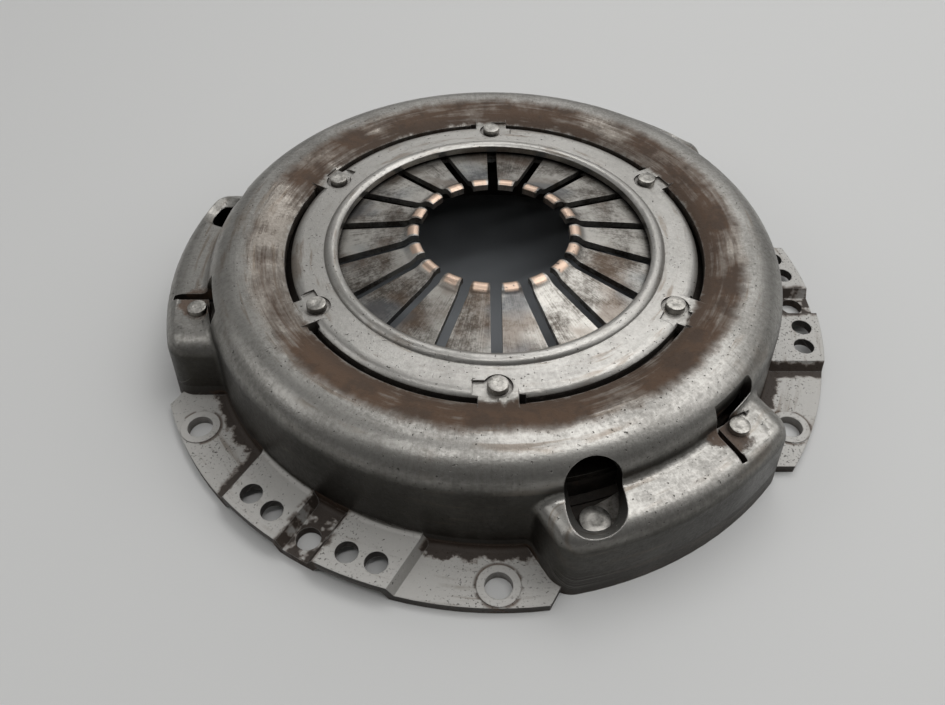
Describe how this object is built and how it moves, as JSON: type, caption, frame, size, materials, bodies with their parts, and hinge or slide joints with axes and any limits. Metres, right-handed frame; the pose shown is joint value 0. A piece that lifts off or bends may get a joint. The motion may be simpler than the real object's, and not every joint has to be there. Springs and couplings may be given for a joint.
{
  "type": "clutch pressure plate",
  "caption": "Diaphragm-spring clutch pressure plate: pressed steel cover with strap towers and bolting flange, fingered spring, cast friction ring hung on leaf straps.",
  "frame": {"origin": "on the clutch axis, in the plane where the cover's flange bolts to the flywheel", "axes": "+Z along the clutch axis, away from the flywheel towards the release bearing; one bolt hole lies on the +Y axis, and a strap tower is centred on the -X axis"},
  "size_m": [0.2611, 0.265, 0.045],
  "materials": {
    "cover_steel": "satin pressed steel, worn, with brown grime in the valleys",
    "spring_steel": "dark tempered spring steel, tips worn bright",
    "cast_iron": "grey cast iron with a ground friction face",
    "strap_steel": "cold-rolled spring strip",
    "ring_steel": "pressed steel",
    "rivet_steel": "satin steel"
  },
  "bodies": {
    "cover": {"cover": "cover_steel", "cover_strap_rivet_1": "rivet_steel", "cover_strap_rivet_2": "rivet_steel", "cover_strap_rivet_3": "rivet_steel", "diaphragm_spring": "spring_steel", "fulcrum_ring": "ring_steel", "fulcrum_rivet_1": "rivet_steel", "fulcrum_rivet_2": "rivet_steel", "fulcrum_rivet_3": "rivet_steel", "fulcrum_rivet_4": "rivet_steel", "fulcrum_rivet_5": "rivet_steel", "fulcrum_rivet_6": "rivet_steel", "strap_1_leaf_1": "strap_steel", "strap_1_leaf_2": "strap_steel", "strap_1_leaf_3": "strap_steel", "strap_2_leaf_1": "strap_steel", "strap_2_leaf_2": "strap_steel", "strap_2_leaf_3": "strap_steel", "strap_3_leaf_1": "strap_steel", "strap_3_leaf_2": "strap_steel", "strap_3_leaf_3": "strap_steel"},
    "pressure_plate": {"pressure_plate": "cast_iron", "plate_strap_rivet_1": "rivet_steel", "plate_strap_rivet_2": "rivet_steel", "plate_strap_rivet_3": "rivet_steel"}
  },
  "joints": [
    {"name": "plate_lift", "type": "slide", "parent": "cover", "child": "pressure_plate", "axis": [0, 0, 1], "range_m": [0, 0.005], "deforming": ["diaphragm_spring", "strap_1_leaf_1", "strap_1_leaf_2", "strap_1_leaf_3", "strap_2_leaf_1", "strap_2_leaf_2", "strap_2_leaf_3", "strap_3_leaf_1", "strap_3_leaf_2", "strap_3_leaf_3"]}
  ]
}
